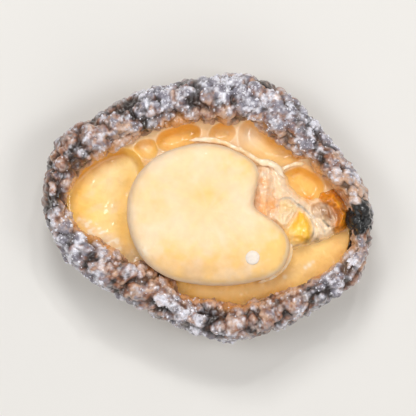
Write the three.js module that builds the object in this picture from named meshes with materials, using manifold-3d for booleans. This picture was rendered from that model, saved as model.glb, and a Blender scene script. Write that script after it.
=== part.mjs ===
// A shucked abalone, frozen, lying on its sole with the side that held the shell up.
// One fused piece of meat: the foot, the round shell muscle that stands on it, the warty
// frill that curls up round its edge, and the mouth parts left at the head end.
//
// Millimetres, +Z up, +X towards the head. The part stands on z = 0, and the middle of
// its outer box lies over the origin.

import * as THREE from 'three';
import { LoftGeometry } from 'three/addons/geometries/LoftGeometry.js';
import { mergeVertices } from 'three/addons/utils/BufferGeometryUtils.js';
import Module from 'manifold-3d';

// ---------------------------------------------------------------- driving dimensions

const BODY_LENGTH = 76; // over the frill, from the tail tip to the head tip
const FOOT_HEIGHT = 12; // from the sole up to the floor of the well round the muscle
const FRILL_TOP = 20.5; // crest of the frill above the sole
const FRILL_DEPTH = 13.6; // of the rolled frill, from its crest down to its underside
const MUSCLE_TOP = 23.5; // crown of the shell muscle above the sole

// Outlines seen from above, as shares of half the body length, from the muscle's middle.
// The directions are evenly spaced, counterclockwise from the head.
const FRILL_OUTLINE = [0.97, 0.88, 0.82, 0.85, 0.82, 0.79, 0.81, 0.88, 1.0,
  0.98, 0.89, 0.76, 0.71, 0.73, 0.8, 0.82, 0.88, 0.99];
const WELL_OUTLINE = [0.83, 0.69, 0.59, 0.57, 0.51, 0.51, 0.55, 0.61, 0.77,
  0.84, 0.63, 0.51, 0.47, 0.52, 0.55, 0.6, 0.69, 0.83];
const MUSCLE_OUTLINE = [0.33, 0.32, 0.36, 0.4, 0.4, 0.41, 0.43, 0.46, 0.48,
  0.49, 0.47, 0.44, 0.42, 0.43, 0.45, 0.49, 0.55, 0.48];

// Strands of skin that cross the well and part it into pockets, in degrees from the head.
const STRAND_ANGLES = [29, 69, 92, 130, 145];
const STRAND_RISE = 2.2;
const STRAND_HALF_WIDTH = 3.2; // degrees
const WELL_DISH = 1.6; // how far the well's edges stand over its middle

// The foot's side, from the edge of the flat sole up to the groove under the frill: how
// far it reaches, as a share of the frill's reach, and how high.
const FOOT_PROFILE = [[0.84, 0], [0.905, 0.8], [0.94, 2.6], [0.935, 4.6], [0.89, 6.4]];

// The frill's crest rises and falls: times round the body, height and phase.
const FRILL_WAVES = [[5, 0.7, 1], [9, 0.4, 0]];

// The warts of the frill: hexagonal knobs on a lattice of loops and columns.
const WART_RISE = 0.7; // a knob's mean height over the frill's skin
const WART_DIP = 0.3; // the mean depth of the gaps between the knobs
const WART_UNEVENNESS = 0.45; // the most that a rise or dip differs from its mean, as a share
const WART_SHIFT = 0.18; // the most that a point is moved along or across, in lattice steps
const FRILL_LOOPS = 18;
const FRILL_UNDERSIDE = -58; // degrees below the outermost line, where the warts begin
const FRILL_INSIDE = 172; // degrees from there over the crest, where they end

// The muscle is a dome with a rounded square section and a shallow dimple on its crown.
const MUSCLE_ROUNDNESS = 2.9; // 2 is an ellipse, more is squarer
const DIMPLE_DEPTH = 0.7;
const DIMPLE_REACH = 6;

// The mouth parts and what hangs from them: middle and half sizes from the muscle's
// middle and the sole, and degrees turned about the upright.
const MOUTH_PARTS = {
  flapOfSkin: [[12.6, 3, 17], [2.4, 7, 4.6], 5],
  lip: [[17.3, -1.5, 16], [2.6, 3.3, 3.4], 0],
  jaw: [[21.3, -3.8, 15.6], [2.5, 3.8, 3.4], 15],
  gullet: [[25.2, 0, 14.6], [3.4, 3, 3.2], 30],
  snout: [[28.6, -0.5, 15.4], [3, 5, 3.8], -12],
  gutPouch: [[21, 5.6, 13], [5.6, 3.3, 2.6], -35],
  tentacleStump: [[33, -2.4, 17.4], [2.6, 3, 3], 0],
};

const AROUND = 150; // columns of the loft, in threes for the warts' lattice
const WELL_STEPS = [0.12, 0.5, 0.9]; // loops between the frill (0) and the muscle (1)
const MUSCLE_TURNS = [8, 28, 48, 62, 74, 83, 90]; // loops from its foot to its crown, degrees
const RANDOM_SEED = 11;

// ---------------------------------------------------------------- helpers

const HALF_LENGTH = BODY_LENGTH / 2;
const FULL_TURN = 2 * Math.PI;
const radians = THREE.MathUtils.degToRad;

// A smooth closed outline through evenly spaced shares: reach in millimetres by angle.
function outline(shares) {
  return (angle) => {
    const place = THREE.MathUtils.euclideanModulo(angle / FULL_TURN, 1) * shares.length;
    const first = Math.floor(place);
    const at = (step) => shares[(first + step + shares.length) % shares.length];
    const curve = new THREE.CatmullRomCurve3(
      [-1, 0, 1, 2].map((step) => new THREE.Vector3(step, at(step), 0)), false, 'catmullrom');
    return curve.getPoint((1 + place - first) / 3).y * HALF_LENGTH;
  };
}

// Mulberry32, a small seeded generator of numbers from 0 to 1.
function seededRandom(seed) {
  let state = seed;
  return () => {
    state = (state + 0x6d2b79f5) | 0;
    let mixed = Math.imul(state ^ (state >>> 15), 1 | state);
    mixed = (mixed + Math.imul(mixed ^ (mixed >>> 7), 61 | mixed)) ^ mixed;
    return ((mixed ^ (mixed >>> 14)) >>> 0) / 4294967296;
  };
}

const wasm = await Module();
wasm.setup();

// A closed geometry as a solid for joining.
function solidOf(geometry) {
  const bare = new THREE.BufferGeometry();
  bare.setAttribute('position', geometry.getAttribute('position'));
  bare.setIndex(geometry.getIndex());
  const merged = mergeVertices(bare, 1e-4);
  const corners = merged.getIndex().array;
  const kept = [];
  for (let i = 0; i < corners.length; i += 3) {
    const [a, b, c] = corners.slice(i, i + 3);
    if (a !== b && b !== c && c !== a) kept.push(a, b, c);
  }
  return new wasm.Manifold(new wasm.Mesh({
    numProp: 3,
    vertProperties: merged.getAttribute('position').array,
    triVerts: new Uint32Array(kept),
  }));
}

// A solid back as a geometry.
function geometryOf(solid) {
  const mesh = solid.getMesh();
  return new THREE.BufferGeometry()
    .setAttribute('position', new THREE.BufferAttribute(mesh.vertProperties, 3))
    .setIndex(new THREE.BufferAttribute(mesh.triVerts, 1));
}

// ---------------------------------------------------------------- the outlines

const frillReach = outline(FRILL_OUTLINE);
const wellReach = outline(WELL_OUTLINE);
const muscleReach = outline(MUSCLE_OUTLINE);

// The frill is a roll with an elliptical section. Its skin lies a little inside the
// outline, because the warts stand `proud` of it. `turn` runs from the outermost point
// (0) over the crest (a quarter turn) to the well (half a turn).
function frillPoint(angle, turn, proud) {
  const outer = frillReach(angle) - WART_RISE;
  const inner = wellReach(angle);
  const halfWidth = (outer - inner) / 2;
  const halfHeight = FRILL_DEPTH / 2;
  const wave = FRILL_WAVES.reduce(
    (sum, [times, height, phase]) => sum + height * Math.sin(times * angle + phase), 0);
  return {
    reach: inner + halfWidth + (halfWidth + proud) * Math.cos(turn),
    height: FRILL_TOP - WART_RISE - halfHeight + (halfHeight + wave + proud) * Math.sin(turn),
  };
}

// How high the strands stand at an angle: each is a narrow bell across its own line.
function strandHeight(angle) {
  return STRAND_ANGLES.reduce((height, degrees) => {
    const turned = THREE.MathUtils.euclideanModulo(angle - radians(degrees) + Math.PI, FULL_TURN);
    const aside = (turned - Math.PI) / radians(STRAND_HALF_WIDTH);
    return height + STRAND_RISE * Math.exp(-(aside ** 2));
  }, 0);
}

// The well between the frill and the muscle, with strands of skin across it. `share` is
// 0 at the frill and 1 at the muscle.
function wellPoint(angle, share) {
  const dish = WELL_DISH * (2 * share - 1) ** 2;
  return {
    reach: THREE.MathUtils.lerp(wellReach(angle), muscleReach(angle), share),
    height: FOOT_HEIGHT + dish + strandHeight(angle) * 4 * share * (1 - share),
  };
}

// The muscle's side and top. `turn` is 0 at its foot, which stands on the well's edge,
// and a quarter turn at its crown.
function musclePoint(angle, turn) {
  const foot = wellPoint(angle, WELL_STEPS.at(-1)).height;
  const reach = muscleReach(angle) * Math.cos(turn) ** (2 / MUSCLE_ROUNDNESS);
  const rise = (MUSCLE_TOP - foot) * Math.sin(turn) ** (2 / MUSCLE_ROUNDNESS);
  return { reach, height: foot + rise - DIMPLE_DEPTH * Math.exp(-((reach / DIMPLE_REACH) ** 2)) };
}

// ---------------------------------------------------------------- the body

// One closed loop of the loft, with the reach and height that `pointAt` gives.
function loop(pointAt) {
  return Array.from({ length: AROUND }, (_, column) => {
    const angle = (column / AROUND) * FULL_TURN;
    const { reach, height } = pointAt(angle, column);
    return new THREE.Vector3(reach * Math.cos(angle), reach * Math.sin(angle), height);
  });
}

// The frill's loops. Every third point of a loop is the tip of a wart, one column on
// from the tips of the loop before, so that six low points stand round each tip. Each
// point has its own height and is shifted a little along and across the loop.
function frillLoops() {
  const random = seededRandom(RANDOM_SEED);
  const spread = (amount) => (random() - 0.5) * 2 * amount;
  const columnStep = FULL_TURN / AROUND;
  const turnStep = (FRILL_INSIDE - FRILL_UNDERSIDE) / (FRILL_LOOPS - 1);
  return Array.from({ length: FRILL_LOOPS }, (_, row) => loop((angle, column) => {
    const isTip = (column - row + FRILL_LOOPS * 3) % 3 === 0;
    const proud = (isTip ? WART_RISE : -WART_DIP) * (1 + spread(WART_UNEVENNESS));
    const turn = FRILL_UNDERSIDE + turnStep * (row + spread(WART_SHIFT));
    return frillPoint(angle + columnStep * spread(WART_SHIFT), radians(turn), proud);
  }));
}

// From the middle of the sole, round the frill and through the well, to the muscle's
// crown. The first and the last loop shrink to a point, which closes the loft.
function bodyGeometry() {
  const footLoop = (share, height) => loop((angle) => ({ reach: frillReach(angle) * share, height }));
  const wellLoop = (share) => loop((angle) => wellPoint(angle, share));
  const muscleLoop = (turn) => loop((angle) => musclePoint(angle, radians(turn)));
  return new LoftGeometry([
    footLoop(0, 0),
    ...FOOT_PROFILE.map(([share, height]) => footLoop(share, height)),
    ...frillLoops(),
    ...WELL_STEPS.map(wellLoop),
    ...MUSCLE_TURNS.map(muscleLoop),
  ]);
}

// ---------------------------------------------------------------- the mouth parts

// A rounded lump, by its middle, its half sizes and how far it is turned about Z.
function lump([x, y, z], [alongX, alongY, alongZ], turnDegrees) {
  return new THREE.SphereGeometry(1, 12, 8)
    .scale(alongX, alongY, alongZ)
    .rotateZ(radians(turnDegrees))
    .translate(x, y, z);
}

// ---------------------------------------------------------------- the part

function abaloneGeometry() {
  const pieces = [bodyGeometry(), ...Object.values(MOUTH_PARTS).map((sizes) => lump(...sizes))];
  const fused = pieces.map(solidOf).reduce((joined, solid) => joined.add(solid));
  const geometry = geometryOf(fused);
  geometry.computeBoundingBox();
  const middle = geometry.boundingBox.getCenter(new THREE.Vector3());
  return geometry.translate(-middle.x, -middle.y, 0);
}

const abalone = new THREE.Mesh(
  abaloneGeometry(),
  new THREE.MeshStandardMaterial({ color: 0xd9a765, roughness: 0.45, metalness: 0 }),
);
abalone.name = 'abalone';

const part = new THREE.Group();
part.add(abalone);
export default part;
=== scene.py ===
"""A shucked abalone, frozen, lying on its sole: the skin, flesh and frost on its solid.

Shapes are worked out in millimetres from the middle of the shell muscle, with +X towards
the head and +Z up, and are moved into the frame, in metres, when their mesh is made.
"""

import itertools
import math

import bpy
import numpy as np
from bpy.props import FloatProperty, FloatVectorProperty, IntProperty, PointerProperty
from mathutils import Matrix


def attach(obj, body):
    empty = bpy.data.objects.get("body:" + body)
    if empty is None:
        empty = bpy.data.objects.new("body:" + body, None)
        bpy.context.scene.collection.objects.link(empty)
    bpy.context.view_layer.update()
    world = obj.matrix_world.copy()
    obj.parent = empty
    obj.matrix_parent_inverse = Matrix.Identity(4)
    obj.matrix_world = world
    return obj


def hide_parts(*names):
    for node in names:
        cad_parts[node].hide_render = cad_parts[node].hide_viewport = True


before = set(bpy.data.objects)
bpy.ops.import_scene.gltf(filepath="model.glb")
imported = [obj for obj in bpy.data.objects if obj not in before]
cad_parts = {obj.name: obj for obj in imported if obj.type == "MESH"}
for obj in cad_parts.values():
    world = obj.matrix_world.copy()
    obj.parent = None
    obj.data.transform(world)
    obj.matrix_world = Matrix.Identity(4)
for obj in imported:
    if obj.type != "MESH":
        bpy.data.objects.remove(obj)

bl_info = {
    "name": "Frozen shucked abalone",
    "version": (1, 0, 0),
    "blender": (4, 5, 0),
    "location": "View3D > Sidebar > Abalone",
    "description": "Builds the flesh, skin and frost of a shucked abalone on its solid",
    "category": "Add Mesh",
}

MM = 0.001
FULL_TURN = 2 * math.pi
NODE = "abalone"
BODY = "root"

# Outlines seen from above, as shares of half the body length, from the muscle's middle.
# The directions are evenly spaced, counterclockwise from the head.
FRILL_OUTLINE = [0.97, 0.88, 0.82, 0.85, 0.82, 0.79, 0.81, 0.88, 1.0,
                 0.98, 0.89, 0.76, 0.71, 0.73, 0.8, 0.82, 0.88, 0.99]
WELL_OUTLINE = [0.83, 0.69, 0.59, 0.57, 0.51, 0.51, 0.55, 0.61, 0.77,
                0.84, 0.63, 0.51, 0.47, 0.54, 0.55, 0.6, 0.69, 0.83]
MUSCLE_OUTLINE = [0.283, 0.292, 0.375, 0.382, 0.39, 0.4, 0.415, 0.448, 0.475,
                  0.487, 0.487, 0.485, 0.463, 0.449, 0.458, 0.497, 0.553, 0.5]

# Hollows of the well: depth in millimetres, width of the wall, the name of the colour at
# the bottom, and points of the smooth outline. Five pockets lie between the strands, and
# two basins reach under the muscle and the frill.
HOLLOWS = [
    (2.2, 2.4, "tail_floor", [
        (-33.2, -2.8), (-33.4, 4.2), (-30.4, 8.6), (-25.6, 12.4), (-20.6, 14.2), (-17.0, 13.4),
        (-14.9, 10.6), (-13.8, 6.0), (-12.5, -4.0), (-11.5, -10.0), (-13.5, -14.5),
        (-21.5, -13.0), (-28.5, -8.8)]),
    (1.8, 3.0, "moat", [
        (-14.0, -14.0), (-11.0, -19.0), (-5.0, -22.0), (4.0, -23.0), (13.0, -24.5), (21.5, -23.5),
        (30.0, -19.0), (35.5, -11.5), (36.0, -3.0), (27.0, -2.5), (20.0, -4.5), (14.5, -7.5),
        (10.0, -11.5), (4.0, -13.0), (-3.0, -12.5), (-9.0, -11.0)]),
    (1.3, 2.2, "amber_pocket", [
        (-17.2, 14.0), (-15.8, 15.8), (-13.2, 16.2), (-11.5, 15.2), (-11.2, 13.2), (-12.2, 11.6),
        (-14.0, 11.2), (-16.0, 12.3)]),
    (2.5, 2.0, "amber_pocket", [
        (-12.1, 15.8), (-10.9, 17.7), (-8.6, 18.6), (-6.1, 19.4), (-3.8, 19.6), (-2.0, 18.6),
        (-1.8, 16.8), (-3.3, 14.9), (-5.8, 13.8), (-8.6, 13.1), (-10.9, 13.4), (-12.0, 14.4)]),
    (1.6, 2.0, "big_pocket", [
        (-0.2, 17.0), (0.6, 18.8), (2.3, 19.8), (4.4, 19.7), (6.0, 18.7), (6.2, 16.9),
        (4.9, 15.3), (2.5, 14.7), (0.5, 15.3)]),
    (1.9, 3.0, "big_pocket", [
        (6.8, 18.8), (8.4, 20.6), (10.9, 20.4), (13.2, 18.2), (15.4, 16.2), (18.2, 15.3),
        (20.5, 13.4), (20.8, 11.3), (18.8, 9.9), (16.0, 9.5), (13.4, 10.0), (10.9, 11.0),
        (8.7, 12.6), (6.9, 14.3), (6.4, 16.6)]),
    (2.0, 2.2, "gut_pocket", [
        (16.6, 8.2), (18.3, 9.3), (20.6, 9.9), (23.1, 8.9), (25.4, 7.3), (26.4, 5.2), (25.9, 3.0),
        (24.4, 1.3), (22.1, 1.0), (20.1, 2.5), (18.5, 4.8), (17.1, 6.8)]),
]

# ---------------------------------------------------------------- colours and sizes


def linear(hex_colour):
    """An sRGB hex colour as linear red, green and blue."""
    srgb = np.array([int(hex_colour[i:i + 2], 16) / 255 for i in (1, 3, 5)])
    return tuple(np.where(srgb > 0.04045, ((srgb + 0.055) / 1.055) ** 2.4, srgb / 12.92))


def length(name, description, millimetres):
    """A property for a length, with its default given in millimetres."""
    return FloatProperty(name=name, description=description, default=millimetres * MM,
                         min=0, unit="LENGTH", precision=5)


def colour(name, description, hex_colour):
    """A property for a colour, with its default given as sRGB hex."""
    return FloatVectorProperty(name=name, description=description, subtype="COLOR",
                               size=3, min=0, max=1, default=linear(hex_colour))


class AbaloneSizes(bpy.types.PropertyGroup):
    body_length: length("Body length", "Over the frill, from tail to head", 76)
    foot_height: length("Foot height", "From the sole to the floor of the well", 12)
    frill_top: length("Frill top", "Crest of the frill above the sole", 20.5)
    frill_depth: length("Frill depth", "From the frill's crest to its underside", 13.6)
    muscle_top: length("Muscle top", "Crown of the shell muscle above the sole", 23.3)
    strand_rise: length("Strand rise", "Strands of skin above the well's floor", 2.4)
    knob_spacing: length("Knob spacing", "Between the frill's big knobs", 2.8)
    knob_rise: length("Knob rise", "Big knobs above the frill's skin", 1.6)
    bead_spacing: length("Bead spacing", "Between the small beads on the knobs", 1.25)
    grain_spacing: length("Grain spacing", "Between grains of frost", 0.5)
    crystal_size: length("Crystal size", "The mean half length of a frost crystal", 0.16)
    crystal_count: IntProperty(name="Crystals", description="Loose frost crystals on the frill",
                               default=1300, min=0, max=20000)
    frost_cover: FloatProperty(name="Frost cover", description="Share of the frill under frost",
                               default=0.46, min=0, max=1, subtype="FACTOR")


class AbaloneColours(bpy.types.PropertyGroup):
    muscle: colour("Muscle", "Cream of the shell muscle", "#F6DBB8")
    muscle_warm: colour("Muscle mottle", "Warmer patches of the muscle", "#F9CB7E")
    # Painted shade on the muscle's lower side, away from the light
    muscle_lower_shade: colour("Muscle, low side", "Darker flesh towards the lower edge", "#D3AD82")
    # Painted light: a paler colour on the muscle's rounded edge, which lies in shade
    muscle_lit_edge: colour("Muscle edge", "The muscle's rounded edge", "#FFE6C8")
    strand: colour("Strand", "Skin between the pockets", "#EEC38A")
    pale_skin: colour("Pale skin", "Thin pale skin along rims and ridges", "#F6DDBE")
    amber_pocket: colour("Amber pocket", "Small pockets of the well", "#F7C568")
    big_pocket: colour("Big pocket", "The widest upper pocket", "#F9CF8E")
    gut_pocket: colour("Gut pocket", "The pocket over the gut", "#F5C268")
    tail_floor: colour("Tail floor", "The well's floor at the tail", "#FFDB92")
    moat: colour("Moat", "The well's floor below the muscle", "#FCC465")
    head_floor: colour("Head floor", "The well's floor below the mouth", "#FFD182")
    # Painted shade on the pockets' walls that face away from the light and under the frill;
    # also one spot of brownish-orange skin beside the gut pocket
    pocket_shade: colour("Pocket shade", "Deep orange of the pockets' far walls", "#E09A30")
    # Painted light on the pockets' walls that face the light, on the moat's ledge and as a
    # highlight in the gut pocket; also the colour of the fibres in the hollows
    pocket_light: colour("Pocket light", "Pale amber of the pockets' near walls", "#FBD08A")
    # The yellow of the tail's tip, and painted light on the shaded walls and floor by the
    # muscle and the frill
    tail_glow: colour("Tail glow", "Yellow at the tip of the tail", "#FFC85C")
    foot_side: colour("Foot side", "Leathery side of the foot", "#B08D6C")
    foot_fold: colour("Foot folds", "Dark folds in the foot's side", "#5E4636")
    sole: colour("Sole", "The sole", "#D9BC92")
    # Dark skin, and the colour of the painted shade in the gaps between the knobs
    dark_skin_and_gap_shade: colour("Dark skin", "Gaps between the knobs", "#2E2421")
    skin_brown: colour("Brown skin", "Dark knobs", "#6B4A3B")
    skin_rust: colour("Rusty skin", "Reddish knobs", "#935F42")
    skin_tan: colour("Tan skin", "Light knobs along the well", "#C9A287")
    skin_amber: colour("Amber skin", "Thin warm skin here and there along the well", "#DB9A52")
    # Thin ice on the knob tops, partly a painted sheen
    knob_ice_and_sheen: colour("Haze", "Thin ice on the tops of the knobs", "#D3C2BA")
    frost_grey: colour("Grey frost", "Thin frost", "#85828E")
    frost_white: colour("White frost", "Thick frost", "#E6E5EE")
    flap: colour("Flap", "Pinkish flap of skin", "#EECFAF")
    flap_warm: colour("Flap, warm", "Orange patches of the flap", "#F0AE6C")
    fold: colour("Fold", "Cream fold beside the flap", "#FADFBC")
    mantle: colour("Mantle", "Peach skin at the head", "#EFD5B2")
    lip: colour("Lip", "Pale lip", "#F3D6AC")
    lip_rim: colour("Lip rim", "Blue-grey skin round the lip", "#A9A5A2")
    lip_inside: colour("Lip inside", "Greenish cream in the lip", "#E4C684")
    jaw: colour("Jaw", "Yellow jaw", "#FDC443")
    jaw_deep: colour("Jaw, deep", "Deeper yellow of the jaw", "#F5AE2C")
    jaw_lobe: colour("Jaw lobe", "Pale lobes under the jaw", "#F8D48C")
    jaw_edge: colour("Jaw edge", "Grey-green skin round the jaw", "#77725F")
    membrane: colour("Membrane", "Cream membrane behind the jaw", "#EAD4B2")
    snout: colour("Snout", "Amber snout", "#DE8717")
    snout_dark: colour("Snout folds", "Brown folds of the snout", "#7E4A1C")
    gland: colour("Gland", "Brown gland", "#A8754A")
    tentacle: colour("Tentacle", "Black stump of a tentacle", "#232324")
    ice: colour("Ice", "Disc of ice on the muscle", "#EADFD3")
    # Also the colour of painted glints on the moat's pad and on the flap's top knot
    rime: colour("Rime", "Rime on the muscle and in the tail's basin", "#FFF1DB")
    floor: colour("Floor", "The pale floor", "#DEDCD8")


# ---------------------------------------------------------------- numbers from formulas


def step(low, high, value):
    """0 up to `low`, 1 from `high`, and a smooth cubic between them. With `low` above
    `high` it falls instead of rising."""
    share = np.clip((value - low) / (high - low), 0, 1)
    return share * share * (3 - 2 * share)


def mix(first, second, share):
    """Colours `first` and `second`, blended by a share for each place."""
    return np.asarray(first) + (np.asarray(second) - np.asarray(first)) * share[..., None]


def lattice_random(cell, seed):
    """A number from 0 to 1 for each whole-number lattice point. The bits of its three
    coordinates and the seed are mixed by large odd factors and shifts."""
    x, y, z = ((cell[..., axis] & 0xFFFFFFFF).astype(np.uint32) for axis in range(3))
    bits = x * np.uint32(0x8DA6B343) ^ y * np.uint32(0xD8163841) ^ z * np.uint32(0xCB1AB31F)
    bits ^= np.uint32(seed * 0x9E3779B1 & 0xFFFFFFFF)
    for shift, factor in ((15, 0x2C1B3C6D), (12, 0x297A2D39), (15, 0x85EBCA6B)):
        bits ^= bits >> np.uint32(shift)
        bits *= np.uint32(factor)
    return (bits >> np.uint32(8)) / float(1 << 24)


def noise(points, spacing, seed):
    """Smooth noise from -1 to 1 with lumps about `spacing` wide: random numbers on a
    cubic lattice, blended along each axis by a fade of the fifth power."""
    place = points / spacing
    cell = np.floor(place).astype(np.int64)
    part = place - cell
    fade = part ** 3 * (part * (part * 6 - 15) + 10)
    total = np.zeros(points.shape[:-1])
    for corner in itertools.product((0, 1), repeat=3):
        weight = np.prod(np.where(corner, fade, 1 - fade), axis=-1)
        total += weight * lattice_random(cell + np.array(corner), seed)
    return total * 2 - 1


def rough(points, spacing, seed, octaves=3):
    """Noise of several sizes, each half as wide and half as strong as the last."""
    return sum(noise(points, spacing / 2 ** i, seed + i) / 2 ** i for i in range(octaves))


def curve(before, start, end, after, t):
    """The place at share `t` from `start` to `end` of a Catmull-Rom curve, which passes
    through its points and runs at each one along the line between its neighbours."""
    return start + ((end - before) * t + (2 * before - 5 * start + 4 * end - after) * t ** 2
                    + (3 * start - before - 3 * end + after) * t ** 3) / 2


def reach_by_angle(shares, angle, half_length):
    """How far an outline reaches at an angle: a closed curve through evenly spaced shares
    of the half length."""
    place = np.mod(angle / FULL_TURN, 1) * len(shares)
    first = np.floor(place).astype(int)
    near = (np.take(shares, (first + i) % len(shares)) for i in (-1, 0, 1, 2))
    return half_length * curve(*near, place - first)


def superellipse(across, along, squareness):
    """1 on the rim of a superellipse of half sizes 1, less inside and more outside."""
    return (np.abs(across) ** squareness + np.abs(along) ** squareness) ** (1 / squareness)


def smooth_path(points, count):
    """A curve through the points, at `count` evenly spaced parameters."""
    points = np.array(points, float)
    ends = np.vstack([2 * points[0] - points[1], points, 2 * points[-1] - points[-2]])
    place = np.linspace(0, len(points) - 1, count)
    first = np.minimum(place.astype(int), len(points) - 2)
    return curve(*(ends[first + i] for i in range(4)), (place - first)[:, None])


def closed_path(points, steps=7):
    """A closed curve through the points, in `steps` chords from one to the next."""
    points = np.array(points, float)
    place = np.arange(len(points) * steps) / steps
    first = place.astype(int)
    near = (points[(first + i) % len(points)] for i in (-1, 0, 1, 2))
    return curve(*near, (place - first)[:, None])


def depth_inside(x, y, outline):
    """Distance from places to a smooth closed outline, positive inside. A place is inside
    where a ray along X crosses the outline's chords an odd number of times."""
    corners = closed_path(outline)
    chord_x, chord_y = (np.roll(corners, -1, 0) - corners).T
    chord_y = np.where(np.abs(chord_y) < 1e-9, 1e-9, chord_y)
    away_x, away_y = x[..., None] - corners[:, 0], y[..., None] - corners[:, 1]
    share = (away_x * chord_x + away_y * chord_y) / (chord_x ** 2 + chord_y ** 2)
    share = np.clip(share, 0, 1)
    distance = np.hypot(away_x - share * chord_x, away_y - share * chord_y).min(-1)
    crossed = ((away_y < 0) != (away_y < chord_y)) & (away_x < chord_x * away_y / chord_y)
    return np.where(crossed.sum(-1) % 2 == 1, distance, -distance)


def near_path(x, y, path, half_width):
    """1 on a smooth open path, falling off as a bell curve to 1/e at the half width."""
    points = smooth_path(path, 60)
    away = np.hypot(x[..., None] - points[:, 0], y[..., None] - points[:, 1]).min(-1)
    return np.exp(-(away / half_width) ** 2)


def near_spot(x, y, spot, reach):
    """1 on a spot, falling off as a bell curve to 1/e at its reach."""
    return np.exp(-((x - spot[0]) ** 2 + (y - spot[1]) ** 2) / reach ** 2)


def normals_of(grid, rows_closed=False):
    """Unit normals of a grid of points whose columns close: the cross product of the
    differences across and along it. Rows that run up the outside give outward ones."""
    across = np.roll(grid, -1, 1) - np.roll(grid, 1, 1)
    if rows_closed:
        along = np.roll(grid, -1, 0) - np.roll(grid, 1, 0)
    else:
        along = np.gradient(grid, axis=0)
    normal = np.cross(across, along)
    return normal / np.maximum(np.linalg.norm(normal, axis=-1, keepdims=True), 1e-12)


# ---------------------------------------------------------------- the animal's shape


class Shape:
    """The sizes in millimetres, and the heights and reaches that the pieces share."""

    MUSCLE_ROUNDNESS = 8  # 2 is a round dome, and more has a flatter top and a sharper edge
    MUSCLE_ROOT = 0.5  # how deep the muscle is sunk into the foot
    DIMPLE_DEPTH = 0.7
    DIMPLE_REACH = 6
    WALL_STEEPNESS = 1.3  # of the hollows: more is steeper at the foot of the wall

    def __init__(self, sizes):
        for name in sizes.__annotations__:
            value = getattr(sizes, name)
            counted = name in ("crystal_count", "frost_cover")
            setattr(self, name, value if counted else value / MM)
        self.half_length = self.body_length / 2
        turn = np.linspace(0, FULL_TURN, 720, endpoint=False)
        edge = self.frill_reach(turn)[:, None] * np.stack([np.cos(turn), np.sin(turn)], -1)
        self.middle = -np.append((edge.min(0) + edge.max(0)) / 2, 0)

    def frill_reach(self, angle):
        return reach_by_angle(FRILL_OUTLINE, angle, self.half_length)

    def well_reach(self, angle):
        return reach_by_angle(WELL_OUTLINE, angle, self.half_length)

    def muscle_reach(self, angle):
        return reach_by_angle(MUSCLE_OUTLINE, angle, self.half_length)

    def hollows(self, x, y):
        """Depth, colour name and mask of each hollow. The mask rises from 0 at the outline
        to 1 at the foot of the wall, as a bowl does."""
        for depth, wall, name, outline in HOLLOWS:
            share = np.clip(depth_inside(x, y, outline) / wall, 0, 1)
            yield depth, name, np.sin(share * math.pi / 2) ** self.WALL_STEEPNESS

    def well_height(self, x, y):
        """Height of the well's floor: the strands' level, less the depth of the hollow
        that a place lies in."""
        sunk = [depth * mask for depth, _, mask in self.hollows(x, y)]
        return self.foot_height + self.strand_rise - np.maximum.reduce(sunk)

    def muscle_height(self, x, y):
        """Height of the shell muscle: a superellipse from its foot to its crown by the
        share of its reach, less a dimple in the middle."""
        away = np.hypot(x, y)
        share = np.clip(away / self.muscle_reach(np.arctan2(y, x)), 0, 1)
        foot = self.foot_height - self.MUSCLE_ROOT
        rise = (1 - share ** self.MUSCLE_ROUNDNESS) ** (1 / self.MUSCLE_ROUNDNESS)
        dimple = self.DIMPLE_DEPTH * np.exp(-(away / self.DIMPLE_REACH) ** 2)
        return foot + (self.muscle_top - foot) * rise - dimple

    def placed(self, points):
        """Points from the muscle's middle, in millimetres, as metres in the frame."""
        return (points + self.middle) * MM


# ---------------------------------------------------------------- meshes


def grid_quads(rows, columns, rows_closed):
    """Corner numbers of a grid's four-sided faces, with the columns closed to a ring."""
    row = np.arange(rows if rows_closed else rows - 1)[:, None]
    column = np.arange(columns)[None, :]
    next_row, next_column = (row + 1) % rows, (column + 1) % columns
    return np.stack([row * columns + column, row * columns + next_column,
                     next_row * columns + next_column, next_row * columns + column],
                    -1).reshape(-1, 4)


def closed_skin(grid, values):
    """A grid whose first and last rows close on a point in their middle: points, quads,
    triangles, and the values with a mean added for each of the two points."""
    rows, columns = grid.shape[:2]
    points = np.vstack([grid.reshape(-1, 3), grid[0].mean(0), grid[-1].mean(0)])
    ring = np.arange(columns)
    following = np.roll(ring, -1)
    first, last = rows * columns, rows * columns + 1
    top = (rows - 1) * columns
    fans = np.vstack([np.stack([np.full(columns, first), following, ring], -1),
                      np.stack([top + ring, top + following, np.full(columns, last)], -1)])
    joined = {name: np.concatenate([value.reshape((rows * columns,) + value.shape[2:]),
                                    value[0].mean(0)[None], value[-1].mean(0)[None]])
              for name, value in values.items()}
    return points, grid_quads(rows, columns, False), fans, joined


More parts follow.
